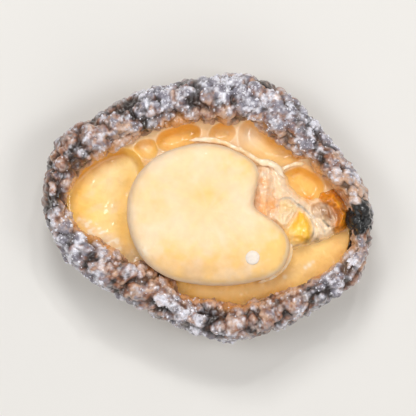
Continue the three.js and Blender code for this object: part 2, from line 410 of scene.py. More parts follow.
def new_piece(name, shape, points, quads, triangles, values, material, slot, smooth=True):
    """A mesh piece in the frame that rides on the body and stands for the solid. Values
    with three numbers a point become colours, and single ones plain attributes."""
    corners = np.concatenate([quads.ravel(), triangles.ravel()]).astype(np.int32)
    totals = np.concatenate([np.full(len(quads), 4), np.full(len(triangles), 3)])
    starts = np.cumsum(totals) - totals
    mesh = bpy.data.meshes.new(name)
    mesh.vertices.add(len(points))
    mesh.vertices.foreach_set("co", shape.placed(points).astype(np.float32).ravel())
    mesh.loops.add(len(corners))
    mesh.loops.foreach_set("vertex_index", corners)
    mesh.polygons.add(len(totals))
    mesh.polygons.foreach_set("loop_start", starts.astype(np.int32))
    mesh.polygons.foreach_set("loop_total", totals.astype(np.int32))
    mesh.polygons.foreach_set("use_smooth", np.full(len(totals), smooth))
    mesh.update(calc_edges=True)
    for label, value in values.items():
        if value.ndim == 2:
            layer = mesh.attributes.new(label, "FLOAT_COLOR", "POINT")
            opaque = np.hstack([np.clip(value, 0, 1), np.ones((len(value), 1))])
            layer.data.foreach_set("color", opaque.astype(np.float32).ravel())
        else:
            layer = mesh.attributes.new(label, "FLOAT", "POINT")
            layer.data.foreach_set("value", value.astype(np.float32))
    piece = bpy.data.objects.new(name, mesh)
    bpy.context.scene.collection.objects.link(piece)
    mesh.materials.append(material)
    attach(piece, BODY)
    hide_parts(NODE)


def join_skins(skins):
    """Several (points, quads, triangles, values) as one, with their numbers shifted."""
    points, quads, triangles, values, start = [], [], [], [], 0
    for skin in skins:
        points.append(skin[0])
        quads.append(skin[1] + start)
        triangles.append(skin[2] + start)
        values.append(skin[3])
        start += len(skin[0])
    joined = {name: np.concatenate([value[name] for value in values]) for name in values[0]}
    return np.vstack(points), np.vstack(quads), np.vstack(triangles), joined


# ---------------------------------------------------------------- materials


def add_node(tree, kind, settings=None, links=None):
    """A node with its settings, by property or input name, and its links, as input name
    or number to output socket."""
    node = tree.nodes.new(kind)
    for name, value in (settings or {}).items():
        if isinstance(name, str) and hasattr(node, name):
            setattr(node, name, value)
        else:
            node.inputs[name].default_value = value
    for name, socket in (links or {}).items():
        tree.links.new(socket, node.inputs[name])
    return node


def new_material(name):
    """A material with an empty node tree."""
    material = bpy.data.materials.new(name)
    material.use_nodes = True
    material.node_tree.nodes.clear()
    return material


def flesh_material(name, roughness, wetness, translucency, bumps, mottle):
    """Moist flesh. Its colour is the piece's own `tint`, made lighter and darker in soft
    patches. Light goes into it a little way and comes out warmer. A wet film lies on it.
    `bumps` are (width in millimetres, height in millimetres) of the surface's relief, and
    `mottle` is (width in millimetres, strength) of the patches."""
    material = new_material(name)
    tree = material.node_tree
    place = add_node(tree, "ShaderNodeTexCoord").outputs["Object"]
    tint = add_node(tree, "ShaderNodeAttribute", {"attribute_name": "tint"}).outputs["Color"]
    patch = add_node(tree, "ShaderNodeTexNoise", {"Scale": 1 / (mottle[0] * MM), "Detail": 3},
                     {"Vector": place})
    strength = add_node(tree, "ShaderNodeMapRange",
                        {"From Min": 0.3, "From Max": 0.7, "To Min": 1 - mottle[1],
                         "To Max": 1 + mottle[1]}, {"Value": patch.outputs["Fac"]})
    varied = add_node(tree, "ShaderNodeVectorMath", {"operation": "SCALE"},
                      {0: tint, "Scale": strength.outputs["Result"]})
    normal = None
    for width, height in bumps:
        relief = add_node(tree, "ShaderNodeTexNoise", {"Scale": 1 / (width * MM), "Detail": 2},
                          {"Vector": place})
        links = {"Height": relief.outputs["Fac"]}
        if normal:
            links["Normal"] = normal
        normal = add_node(tree, "ShaderNodeBump", {"Distance": height * MM}, links
                          ).outputs["Normal"]
    shine = add_node(tree, "ShaderNodeMapRange",
                     {"From Min": 0.35, "From Max": 0.65, "To Min": roughness * 0.8,
                      "To Max": roughness * 1.25}, {"Value": patch.outputs["Fac"]})
    shader = add_node(tree, "ShaderNodeBsdfPrincipled",
                      {"IOR": 1.38, "Subsurface Weight": translucency,
                       "Subsurface Radius": (1.0, 0.8, 0.55), "Subsurface Scale": 1.6 * MM,
                       "Coat Weight": wetness, "Coat Roughness": 0.05, "Coat IOR": 1.5},
                      {"Base Color": varied.outputs["Vector"],
                       "Roughness": shine.outputs["Result"], "Normal": normal})
    add_node(tree, "ShaderNodeOutputMaterial", links={"Surface": shader.outputs["BSDF"]})
    return material


def frosted_skin_material():
    """Warty pigmented skin under frost. The `tint` holds the knobs with a painted sheen on
    their tops, the painted shade in the gaps, and frost. Frost is rough and scatters light,
    and bare skin is moist, so the roughness follows `frost`."""
    material = new_material("frosted_epipodium_skin")
    tree = material.node_tree
    place = add_node(tree, "ShaderNodeTexCoord").outputs["Object"]
    tint = add_node(tree, "ShaderNodeAttribute", {"attribute_name": "tint"}).outputs["Color"]
    frost = add_node(tree, "ShaderNodeAttribute", {"attribute_name": "frost"}).outputs["Fac"]
    grain = add_node(tree, "ShaderNodeTexNoise", {"Scale": 1 / (0.35 * MM), "Detail": 3},
                     {"Vector": place})
    strength = add_node(tree, "ShaderNodeMapRange",
                        {"From Min": 0.3, "From Max": 0.7, "To Min": 0.85, "To Max": 1.15},
                        {"Value": grain.outputs["Fac"]})
    varied = add_node(tree, "ShaderNodeVectorMath", {"operation": "SCALE"},
                      {0: tint, "Scale": strength.outputs["Result"]})
    relief = add_node(tree, "ShaderNodeBump", {"Distance": 0.07 * MM},
                      {"Height": grain.outputs["Fac"]})
    gloss = add_node(tree, "ShaderNodeMapRange", {"To Min": 0.3, "To Max": 0.55},
                     {"Value": frost})
    shader = add_node(tree, "ShaderNodeBsdfPrincipled",
                      {"IOR": 1.36, "Subsurface Weight": 0.12,
                       "Subsurface Radius": (1.0, 0.7, 0.55), "Subsurface Scale": 0.5 * MM,
                       "Coat Weight": 0.8, "Coat Roughness": 0.08},
                      {"Base Color": varied.outputs["Vector"],
                       "Roughness": gloss.outputs["Result"], "Normal": relief.outputs["Normal"]})
    add_node(tree, "ShaderNodeOutputMaterial", links={"Surface": shader.outputs["BSDF"]})
    return material


def ice_material(name, base, roughness):
    """Frozen water, white with trapped air: pale, a little clear, with a glassy skin."""
    material = new_material(name)
    tree = material.node_tree
    place = add_node(tree, "ShaderNodeTexCoord").outputs["Object"]
    cloud = add_node(tree, "ShaderNodeTexNoise", {"Scale": 1 / (0.6 * MM), "Detail": 2},
                     {"Vector": place})
    whiteness = add_node(tree, "ShaderNodeMapRange",
                         {"From Min": 0.3, "From Max": 0.7, "To Min": 0.93, "To Max": 1.04},
                         {"Value": cloud.outputs["Fac"]})
    varied = add_node(tree, "ShaderNodeVectorMath",
                      {"operation": "SCALE", 0: tuple(base)},
                      {"Scale": whiteness.outputs["Result"]})
    relief = add_node(tree, "ShaderNodeBump", {"Distance": 0.03 * MM},
                      {"Height": cloud.outputs["Fac"]})
    shader = add_node(tree, "ShaderNodeBsdfPrincipled",
                      {"IOR": 1.31, "Roughness": roughness, "Subsurface Weight": 0.4,
                       "Subsurface Radius": (0.9, 0.95, 1.0), "Subsurface Scale": 0.4 * MM},
                      {"Base Color": varied.outputs["Vector"],
                       "Normal": relief.outputs["Normal"]})
    add_node(tree, "ShaderNodeOutputMaterial", links={"Surface": shader.outputs["BSDF"]})
    return material


def board_material(base):
    """Matt painted board, with a trace of unevenness."""
    material = new_material("matt_painted_board")
    tree = material.node_tree
    place = add_node(tree, "ShaderNodeTexCoord").outputs["Object"]
    cloud = add_node(tree, "ShaderNodeTexNoise", {"Scale": 1 / (33 * MM), "Detail": 2},
                     {"Vector": place})
    level = add_node(tree, "ShaderNodeMapRange", {"To Min": 0.98, "To Max": 1.02},
                     {"Value": cloud.outputs["Fac"]})
    varied = add_node(tree, "ShaderNodeVectorMath", {"operation": "SCALE", 0: tuple(base)},
                      {"Scale": level.outputs["Result"]})
    shader = add_node(tree, "ShaderNodeBsdfPrincipled", {"Roughness": 0.75},
                      {"Base Color": varied.outputs["Vector"]})
    add_node(tree, "ShaderNodeOutputMaterial", links={"Surface": shader.outputs["BSDF"]})
    return material


# ---------------------------------------------------------------- pieces


def settings_of(context):
    """The shape worked out from the sizes, and the colours."""
    return Shape(context.scene.abalone_sizes), context.scene.abalone_colours


class ABALONE_OT_foot(bpy.types.Operator):
    """The foot: flat sole, leathery side, and the floor of the well with its pockets"""
    bl_idname = "abalone.foot"
    bl_label = "Foot"

    # From the flat sole to the groove under the frill, as on the solid: how far it
    # reaches, as a share of the frill's reach, and how high in millimetres.
    PROFILE = [(0.84, 0), (0.885, 0.25), (0.92, 1.3), (0.94, 3.2), (0.935, 4.9),
               (0.905, 6.2), (0.85, 8.2)]
    # Where the well's floor begins and ends, as shares of the frill's and muscle's reach
    RIM_UNDER_FRILL = 0.86
    RIM_UNDER_MUSCLE = 0.85
    CREASE_DEPTH = 0.35
    # Spots in the well: colour, strength, place from the middle and reach
    # Among them, the deep orange spots at the gut pocket's upper edge are painted shade, and
    # and the frill, and the four small rime spots in the moat are painted glints.
    # painted highlight, the tail yellow spots are painted light in the shade of the muscle
    # the one at (27.2, 6.2) is brownish-orange skin. The pale amber spot at (20.3, 4.2) is a
    SPOTS = [("snout", 0.8, (22.7, 2.2), 1.2), ("pocket_shade", 0.8, (22.4, 8.8), 2.0),
             ("snout", 0.5, (24.6, 8.0), 1.4), ("snout", 0.35, (20.4, 5.6), 0.8),
             ("pocket_light", 0.7, (20.3, 4.2), 1.0), ("pale_skin", 0.5, (9.8, 16.2), 2.4),
             ("pale_skin", 0.5, (-14.6, 14.4), 1.4), ("pocket_light", 0.5, (24.5, -6.0), 3.0),
             ("pale_skin", 0.6, (8.4, 17.0), 2.6), ("pocket_shade", 0.7, (27.2, 6.2), 1.8),
             ("pocket_shade", 0.6, (19.8, 8.9), 1.6), ("tail_glow", 0.6, (-17.5, -5.5), 3.0),
             ("rime", 0.3, (-17.0, -11.5), 2.0), ("tail_glow", 0.4, (-28.5, -1.5), 3.0),
             ("pale_skin", 0.4, (-23.0, 7.0), 3.5), ("rime", 0.8, (21.9, -13.1), 0.45),
             ("rime", 0.9, (22.8, -12.5), 0.5), ("rime", 0.7, (23.7, -11.8), 0.4),
             ("rime", 0.6, (17.3, -15.2), 0.5)]
    # Rime on the floor of the tail's basin: its path and half width
    RIME = ([(-28.6, -2.6), (-26.0, -4.6), (-22.5, -6.9), (-18.6, -9.0)], 1.3)
    # Streaks in the well: colour, strength, half width and path. They are painted light on
    # the ledge along the moat, a painted shadow along the tail basin's upper edge under the
    # frill, and painted light on its shaded walls by the muscle.
    STREAKS = [("pocket_light", 0.8, 1.2, [(-2.0, -18.6), (4.9, -18.8), (11.4, -17.8),
                                           (17.8, -15.2), (23.2, -13.0)]),
               ("pocket_shade", 0.85, 0.9, [(-31.0, 7.0), (-27.5, 9.4), (-24.0, 11.0),
                                            (-21.5, 12.2), (-19.0, 13.0)]),
               ("tail_glow", 0.9, 1.0, [(-18.4, 13.4), (-16.2, 12.0), (-15.3, 9.6), (-15.6, 7.0)]),
               ("tail_glow", 0.5, 1.4, [(-18.2, 7.5), (-19.6, 2.0), (-19.9, -3.0), (-18.6, -9.0)])]
    COLUMNS = 720
    SOLE_ROWS = 9
    SIDE_ROWS = 44
    WELL_ROWS = 84

    def execute(self, context):
        shape, colours = settings_of(context)
        angle = np.linspace(0, FULL_TURN, self.COLUMNS, endpoint=False)
        side_reach, side_height = self.side_of(shape, angle)
        outer = self.RIM_UNDER_FRILL * shape.frill_reach(angle)
        inner = self.RIM_UNDER_MUSCLE * shape.muscle_reach(angle)
        reach = outer + (inner - outer) * np.linspace(0, 1, self.WELL_ROWS)[:, None]
        x, y = reach * np.cos(angle), reach * np.sin(angle)
        well = np.stack([x, y, shape.well_height(x, y)], -1)
        side = np.stack([side_reach * np.cos(angle), side_reach * np.sin(angle), side_height], -1)
        grid = self.wrinkled(np.vstack([side, well]), len(side_reach))
        tint = np.concatenate([self.side_tint(colours, grid[:len(side_reach)]),
                               self.well_tint(shape, colours, grid, len(side_reach))])
        skin = closed_skin(grid, {"tint": tint})
        material = flesh_material("moist_foot_flesh", 0.3, 1.0, 0.3,
                                  [(2.2, 0.16), (0.7, 0.08)], (3.0, 0.06))
        new_piece("foot", shape, *skin, material, "abalone_meat")
        return {"FINISHED"}

    def side_of(self, shape, angle):
        """Reach and height of the sole's rings and of the side, a smooth curve through
        the profile's points."""
        profile = smooth_path(self.PROFILE, self.SIDE_ROWS)
        profile[:, 1] = np.maximum(profile[:, 1], 0)
        sole = np.linspace(0.02, self.PROFILE[0][0], self.SOLE_ROWS, endpoint=False)
        rows = np.vstack([np.stack([sole, np.zeros(self.SOLE_ROWS)], -1), profile])
        reach = rows[:, 0][:, None] * shape.frill_reach(angle)
        return reach, rows[:, 1][:, None] * np.ones_like(angle)

    def folds(self, grid):
        """Noise that is longer across than up, for the side's creases and their colour."""
        return rough(grid * [1, 1, 2.2], 2.6, 21)

    def wrinkled(self, grid, side_rows):
        """Creases in the side above the sole, where the folds' noise is near 0, and slow
        swells in the well."""
        on_side = (np.arange(len(grid)) < side_rows)[:, None]
        crease = (0.3 - np.abs(self.folds(grid))) * step(0.2, 1.6, grid[..., 2]) * on_side
        swell = (0.16 * rough(grid, 5, 31, 2) + 0.07 * rough(grid, 1.6, 32, 2)) * ~on_side
        return grid + normals_of(grid) * (self.CREASE_DEPTH * crease + swell)[..., None]

    def side_tint(self, colours, grid):
        """Sole colour below and leathery side above, with dark folds."""
        side = mix(colours.sole, colours.foot_side, step(0.2, 2.2, grid[..., 2]))
        fold = step(0.25, 0.75, self.folds(grid) + 0.35 * noise(grid, 9, 4))
        return mix(side, colours.foot_fold, 0.55 * fold * step(0.5, 3, grid[..., 2]))

    def well_tint(self, shape, colours, grid, side_rows):
        """The hollows' colours with painted shade and light, and the streaks and spots over
        them, some of which are painted light, shade and glints.
        """
        well = grid[side_rows:]
        x, y = well[..., 0], well[..., 1]
        tint, inside = self.hollow_tint(shape, colours, well)
        tint = self.shaded(shape, colours, well, normals_of(grid)[side_rows:], inside, tint)
        # The streaks: painted light and a painted shadow
        for name, strength, half_width, path in self.STREAKS:
            near = near_path(x, y, path, half_width)
            tint = mix(tint, getattr(colours, name), strength * near)
        uneven = 0.8 + 0.4 * noise(well, 1.5, 35)
        # Spots, some of them painted shade, light and glints
        for name, strength, spot, reach in self.SPOTS:
            near = near_spot(x, y, spot, reach) * uneven
            tint = mix(tint, getattr(colours, name), strength * near)
        return tint

    def hollow_tint(self, shape, colours, well):
        """Strand colour, then each hollow's own, with a pale line along the rims, a lighter
        pad at the head, a yellow tip at the tail, faint fibres along the basins, and rime.
        Also a mask of the hollows: 0 at their outlines and 1 soon inside."""
        x, y = well[..., 0], well[..., 1]
        tint = np.ones(well.shape) * np.array(colours.strand)
        inside = np.zeros(x.shape)
        for _, name, mask in shape.hollows(x, y):
            tint = mix(tint, getattr(colours, name), step(0.0, 0.45, mask))
            inside = np.maximum(inside, mask)
        rim = np.exp(-((inside - 0.04) / 0.05) ** 2)
        tint = mix(tint, colours.pale_skin, 0.6 * rim * (0.6 + 0.4 * noise(well, 2, 33)))
        pad = step(9, 19, x) * step(-1, -7, y)
        tint = mix(tint, colours.head_floor, pad * inside)
        # The tail's tip is more yellow: its own colour
        glow = step(-23, -31, x + 1.5 * noise(well, 3, 34))
        tint = mix(tint, colours.tail_glow, 0.85 * glow * inside)
        along = np.stack([x * 0.9 + y * 0.44, y * 0.9 - x * 0.44, x * 0], -1)
        fibre = step(0.0, 0.9, noise(along * [0.3, 1.2, 1], 1.4, 36))
        tint = mix(tint, colours.pocket_light, 0.35 * fibre * step(0.5, 1, inside))
        in_tail = step(-12, -18, x) * step(-30, -26, x)
        tint = mix(tint, colours.pale_skin, 0.35 * fibre * in_tail)
        rime = near_path(x, y, *self.RIME)
        tint = mix(tint, colours.pale_skin, 0.6 * rime)
        speck = step(0.0, 0.6, noise(along * [1, 2, 1], 1.1, 39)) * step(0.1, 0.6, rime)
        return mix(tint, colours.rime, speck), step(0.0, 0.3, inside)

    def shaded(self, shape, colours, well, normals, inside, tint):
        """Painted shade in the hollows near the frill, most at the upper and head side, and on
        walls that face -Y, away from the light, and painted light on walls that face +Y."""
        x, y = well[..., 0], well[..., 1]
        # Painted shadow of the frill over the hollows near its inner edge
        near_frill = step(0.78, 1.0, np.hypot(x, y) / shape.well_reach(np.arctan2(y, x)))
        upper = 0.05 + 0.55 * step(1, 12, y) + 0.25 * step(10, 24, x) + 0.15 * noise(well, 2, 37)
        tint = mix(tint, colours.pocket_shade, np.clip(near_frill * upper, 0, 1) * inside)
        # Painted shade on walls that face -Y, and painted light on walls that face +Y
        uneven = 0.7 + 0.5 * noise(well, 1.8, 38)
        away = step(0.15, 0.9, -normals[..., 1]) * inside * uneven
        tint = mix(tint, colours.pocket_shade, np.clip(0.7 * away, 0, 0.8))
        return mix(tint, colours.pocket_light, 0.5 * step(0.1, 0.8, normals[..., 1]) * inside)


class ABALONE_OT_shell_muscle(bpy.types.Operator):
    """The shell muscle: a smooth cream dome with a rounded edge and a shallow dimple"""
    bl_idname = "abalone.shell_muscle"
    bl_label = "Shell muscle"

    # Warmer patches: place from the middle, reach and strength
    PATCHES = [((-0.5, 1.5), 5, 0.9), ((3.5, 12.5), 4.5, 0.65), ((9, 9), 3.5, 0.7),
               ((-9.5, -10.5), 4, 0.8), ((10, -14), 6, 1.2), ((15.5, -9), 4.5, 1.3),
               ((-1, -14), 7, 1.0), ((-15, 4), 5, 0.25)]
    RIME = ((-14.9, -9.4), 1.5)  # a patch of rime on the edge: place and reach
    COLUMNS = 420
    ROWS = 110

    def execute(self, context):
        shape, colours = settings_of(context)
        angle = np.linspace(0, FULL_TURN, self.COLUMNS, endpoint=False)
        # From the foot to just short of the crown, with the rows a little closer at the foot
        turn = np.linspace(0, 1, self.ROWS)[:, None] ** 1.15 * (math.pi / 2 - 0.004)
        edge = shape.muscle_reach(angle)
        reach = edge * np.cos(turn) ** (2 / shape.MUSCLE_ROUNDNESS)
        x, y = reach * np.cos(angle), reach * np.sin(angle)
        grid = np.stack([x, y, shape.muscle_height(x, y)], -1)
        swell = 0.22 * noise(grid, 11, 41) + 0.08 * rough(grid, 4, 45, 2)
        fade = step(0.0, 0.3, reach / edge)
        grid = grid + normals_of(grid) * (swell * fade)[..., None]
        skin = closed_skin(grid, {"tint": self.tint(colours, grid, reach / edge)})
        material = flesh_material("moist_muscle_flesh", 0.6, 0.05, 0.35,
                                  [(1.6, 0.1), (0.5, 0.03)], (1.8, 0.04))
        new_piece("shell_muscle", shape, *skin, material, "shell_muscle")
        return {"FINISHED"}

    def tint(self, colours, grid, share):
        """Cream, with warm patches broken up by noise, rime, painted shade towards the lower
        edge, and painted light on the rounded edge, which lies in shade."""
        x, y = grid[..., 0], grid[..., 1]
        warm = (0.3 * step(-0.2, 0.8, rough(grid, 6, 51))
                + 0.12 * step(0, 0.8, rough(grid, 1.8, 53)))
        uneven = 0.7 + 0.5 * rough(grid, 3, 55)
        for place, reach, strength in self.PATCHES:
            warm = warm + strength * near_spot(x, y, place, reach) * uneven
        tint = mix(colours.muscle, colours.muscle_warm, np.clip(warm, 0, 1))
        rime = near_spot(x, y, *self.RIME) * step(-0.5, 0.3, noise(grid, 0.7, 57))
        tint = mix(tint, colours.rime, 0.8 * rime)
        # Painted shade on the lower side, away from the light
        low = step(-7, -16, y) * step(19, 5, x) * (0.75 + 0.25 * rough(grid, 2.5, 59))
        tint = mix(tint, colours.muscle_lower_shade, np.clip(0.75 * low, 0, 0.9))
        # Painted light on the rounded edge, which lies in shade
        return mix(tint, colours.muscle_lit_edge, 0.6 * step(0.93, 0.99, share))


def knobs(points, spacing, seed):
    """Round knobs on scattered points, one in each cell of a cubic lattice: height, 0 to 1,
    and each knob's random number. A knob is a ball's cap with a radius of its own, and at
    each place the highest one counts."""
    least, most = 0.56, 0.9  # the knobs' radii, in spacings
    stray = 0.9  # width of the middle part of a cell that its knob can lie in
    place = points / spacing
    home = np.floor(place).astype(np.int64)
    height = np.zeros(points.shape[:-1])
    owner = np.zeros_like(height)
    for offset in itertools.product((-1, 0, 1), repeat=3):
        cell = home + np.array(offset)
        jitter = np.stack([lattice_random(cell, seed + axis) for axis in range(3)], -1)
        away = ((place - cell - 0.5 - (jitter - 0.5) * stray) ** 2).sum(-1)
        number = lattice_random(cell, seed + 3)
        radius = least + (most - least) * np.mod(number * 5.3, 1)
        cap = np.sqrt(np.clip(radius ** 2 - away, 0, None)) / most
        owner = np.where(cap > height, number, owner)
        height = np.maximum(height, cap)
    return height, owner


class ABALONE_OT_frill(bpy.types.Operator):
    """The frill: a roll of warty skin round the edge, under frost, and loose crystals"""
    bl_idname = "abalone.frill"
    bl_label = "Frill and frost"

    # Turns round the roll's section, in degrees: 0 is outermost, 90 at the crest and 180
    # at the well. ROWS_SHOWN go from the underside over the crest to the inside, and
    # ROWS_HIDDEN close the roll below.
    UNDERSIDE = -66
    GROOVE = 112
    INSIDE = 196
    CRYSTALS = (-40, 150)  # the crystals lie between these turns
    CORNERS = 0.88  # 1 makes the section an ellipse, and less makes it squarer
    # Heights of the relief, in millimetres
    LUMP = 0.55
    BEAD = 0.4
    CRUMPLE = 0.34
    GRAIN = 0.07
    GROOVE_DEPTH = 0.6
    CREST_WAVES = [(5, 0.7, 1), (9, 0.4, 0)]  # waves round the edge, height, and phase
    # Patches: place, reach, how much more or less frost, and how much lighter the skin
    PATCHES = [((3.6, 27.4), 5, 0.3, 0), ((-10.7, 24.4), 4, 0.15, 0), ((26.9, 15.7), 4, 0.3, 0.1),
               ((19.3, 21.8), 4, 0.2, 0), ((-18.8, 17.3), 4.5, -0.2, 0.15),
               ((-32.5, 5.6), 3.5, -0.25, 0), ((-24, 15), 5, 0.05, 0.3),
               ((-26.9, -12.7), 4, 0.3, 0), ((-12.7, -14.2), 5, -0.25, 0.15),
               ((-1.5, -26.9), 4.5, 0.2, 0), ((4.0, -23.4), 3, -0.25, 0.2),
               ((31.5, -9.5), 5, 0.1, 0.45), ((32.5, 3.5), 4.5, -0.25, 0.9),
               ((5.5, 19.5), 3, -0.2, 0.4), ((-6, 21), 3.5, -0.1, 0.3),
               ((17, -20.5), 4, -0.15, 0.2), ((30.0, 8.0), 3.5, 0, 0.2)]
    # Black skin round the stump of the tentacle: middle and half sizes
    STUMP_MIDDLE = (34.2, -2.0)
    STUMP_HALF = (2.6, 3.8)
    COLUMNS = 980
    ROWS_SHOWN = 92
    ROWS_HIDDEN = 8

    def execute(self, context):
        shape, colours = settings_of(context)
        base, turn = self.plain_roll(shape)
        relief = self.relief(shape, base, turn)
        grid = base + normals_of(base, rows_closed=True) * relief["height"][..., None]
        facing = normals_of(grid, rows_closed=True)
        frost = self.frost(shape, grid, facing, relief, turn)
        tint = self.tint(colours, grid, relief, frost, turn)
        values = {"tint": tint.reshape(-1, 3), "frost": frost.ravel()}
        points = grid.reshape(-1, 3)
        new_piece("frill", shape, points, grid_quads(*turn.shape, True), np.zeros((0, 3), int),
                  values, frosted_skin_material(), "frill_skin")
        self.crystals(shape, colours, points, facing.reshape(-1, 3), frost, turn)
        return {"FINISHED"}

    def plain_roll(self, shape):
        """The frill without its knobs, and the turn of each point. Its section is a
        soft-cornered ellipse between the outlines of the well and of the frill."""
        underside, inside = math.radians(self.UNDERSIDE), math.radians(self.INSIDE)
        shown = np.linspace(underside, inside, self.ROWS_SHOWN)
        hidden = np.linspace(inside, underside + FULL_TURN, self.ROWS_HIDDEN + 2)[1:-1]
        turn, angle = np.meshgrid(np.concatenate([shown, hidden]),
                                  np.linspace(0, FULL_TURN, self.COLUMNS, endpoint=False),
                                  indexing="ij")
        around = np.stack([np.cos(angle), np.sin(angle), np.zeros_like(angle)], -1)
        outer = shape.frill_reach(angle) - 0.3 * shape.knob_rise
        inner = shape.well_reach(angle) + 0.35 + 0.5 * rough(around * 30, 7, 5)
        sideways, upwards = (np.sign(part) * np.abs(part) ** self.CORNERS
                             for part in (np.cos(turn), np.sin(turn)))
        points = around * (inner + (outer - inner) / 2 * (1 + sideways))[..., None]
        half_height = shape.frill_depth / 2
        middle = shape.frill_top - 0.6 * shape.knob_rise - half_height
        wave = sum(height * np.sin(count * angle + phase)
                   for count, height, phase in self.CREST_WAVES)
        points[..., 2] = middle + (half_height + wave) * upwards
        return points, turn

    def relief(self, shape, base, turn):
        """Height of the skin over the plain roll: slow lumps, a broken groove along the
        inner side, round knobs, small beads on and between them, crumples and grains.
        Knobs, beads and crumples are lower by the well."""
        warp = np.stack([rough(base, 3, seed, 2) for seed in (61, 64, 67)], -1)
        knob, owner = knobs(base + 0.5 * warp, shape.knob_spacing, 71)
        bead, _ = knobs(base + 0.25 * warp, shape.bead_spacing, 81)
        lump = self.LUMP * rough(base, 8, 95, 2)
        broken = step(-0.3, 0.3, noise(base * [1, 1, 0.3], 9, 97))
        groove = np.exp(-((turn - math.radians(self.GROOVE)) / 0.17) ** 2) * broken
        calm = 1 - 0.6 * self.beyond(165, 190, turn)
        grain = self.GRAIN * rough(base, shape.grain_spacing, 91, 2)
        crumple = self.CRUMPLE * rough(base, 1.3, 93, 2)
        height = (lump + (shape.knob_rise * knob + self.BEAD * bead + crumple) * calm
                  - self.GROOVE_DEPTH * groove + grain - 0.6 * shape.knob_rise)
        patch_frost, patch_light = np.zeros_like(turn), np.zeros_like(turn)
        for place, reach, frost, light in self.PATCHES:
            near = near_spot(base[..., 0], base[..., 1], place, reach)
            patch_frost += frost * near
            patch_light += light * near
        return {"height": height, "knob": knob, "owner": owner, "bead": bead,
                "groove": groove, "patch_frost": patch_frost, "patch_light": patch_light}

    def beyond(self, first, last, turn):
        """0 up to the first of two turns in degrees, and 1 from the last."""
        return step(math.radians(first), math.radians(last), turn)

    def frost(self, shape, grid, facing, relief, turn):
        """0 on bare skin to 0.95 in thick frost. It lies in clouds, thicker on some knobs
        than on others and on what is high and faces up, thins out towards the well, and
        is broken up by noise."""
        inside = self.beyond(100, 150, turn)
        high = relief["knob"] + 0.35 * relief["bead"]
        cloud = 0.55 * noise(grid, 7, 104) + 0.45 * noise(grid, 2.6, 105)
        luck = np.mod(relief["owner"] * 7.31, 1) - 0.5
        broken = 0.3 * noise(grid, 1.1, 101) + 0.3 * noise(grid, 0.5, 102)
        amount = (shape.frost_cover + 0.65 * cloud + 0.3 * luck + broken + relief["patch_frost"]
                  + 0.5 * (high - 0.8) + 0.1 * facing[..., 2] - 0.2 * inside - 0.1)
        return 0.95 * step(0.05, 0.95, amount)

    def tint(self, colours, grid, relief, frost, turn):
        """Clouds of dark, brown, rusty and tan skin, a little different from knob to knob,
        with thin ice and a painted sheen on the knobs' tops, frost from blue-grey to white over
        all, dark skin and painted shade in the gaps and the groove, and flecks. The skin by the
        well is tan and amber, and round the stump it is black."""
        inside = self.beyond(98, 140, turn)
        pick = (0.42 + 0.45 * noise(grid, 4.5, 111) + 0.4 * noise(grid, 1.4, 112)
                + 0.2 * noise(grid, 0.6, 113) + 0.3 * (relief["owner"] - 0.5) + 0.25 * inside
                + relief["patch_light"])
        skin = mix(colours.dark_skin_and_gap_shade, colours.skin_brown, step(0.2, 0.45, pick))
        skin = mix(skin, colours.skin_rust, step(0.4, 0.65, pick))
        skin = mix(skin, colours.skin_tan, step(0.65, 0.95, pick))
        white = step(-0.3, 0.45, noise(grid, 1.5, 121) + 0.5 * noise(grid, 0.7, 122))
        rime = mix(colours.frost_grey, colours.frost_white, white)
        # Thin ice on the knob tops, partly a painted sheen
        top_ice_and_sheen = (step(0.45, 0.95, relief["knob"] + 0.2 * relief["bead"])
                * step(-0.5, 0.5, noise(grid, 0.8, 115) + 0.7 * noise(grid, 3, 116)))
        skin = mix(skin, colours.knob_ice_and_sheen, 0.5 * top_ice_and_sheen)
        skin = mix(skin, rime, frost)
        # Painted shade in the gaps between knobs and beads and in the groove
        deep = step(0.5, 0.15, relief["knob"] + 0.2 * (relief["bead"] - 0.5))
        deep = 0.8 * deep + 0.35 * step(0.4, 0.05, relief["bead"]) + 0.3 * relief["groove"]
        skin = mix(skin, colours.dark_skin_and_gap_shade, np.clip(deep, 0, 0.75))
        fleck = (step(0.3, 0.6, noise(grid, 0.6, 131)) * step(-0.2, 0.4, noise(grid, 2, 132))
                 * step(0.4, 0.8, relief["knob"]))
        skin = mix(skin, colours.frost_white, 0.8 * fleck)
        skin = mix(skin, colours.skin_tan, 0.6 * self.beyond(150, 178, turn))
        warm = self.beyond(118, 150, turn) * step(0, 0.4, noise(grid, 2.8, 117))
        skin = mix(skin, colours.skin_amber, 0.7 * warm)
        ragged = 0.35 * noise(grid, 2.2, 135) + 0.2 * noise(grid, 0.8, 136)
        return mix(skin, colours.tentacle, step(1.15, 0.85, self.stump_share(grid) + ragged))

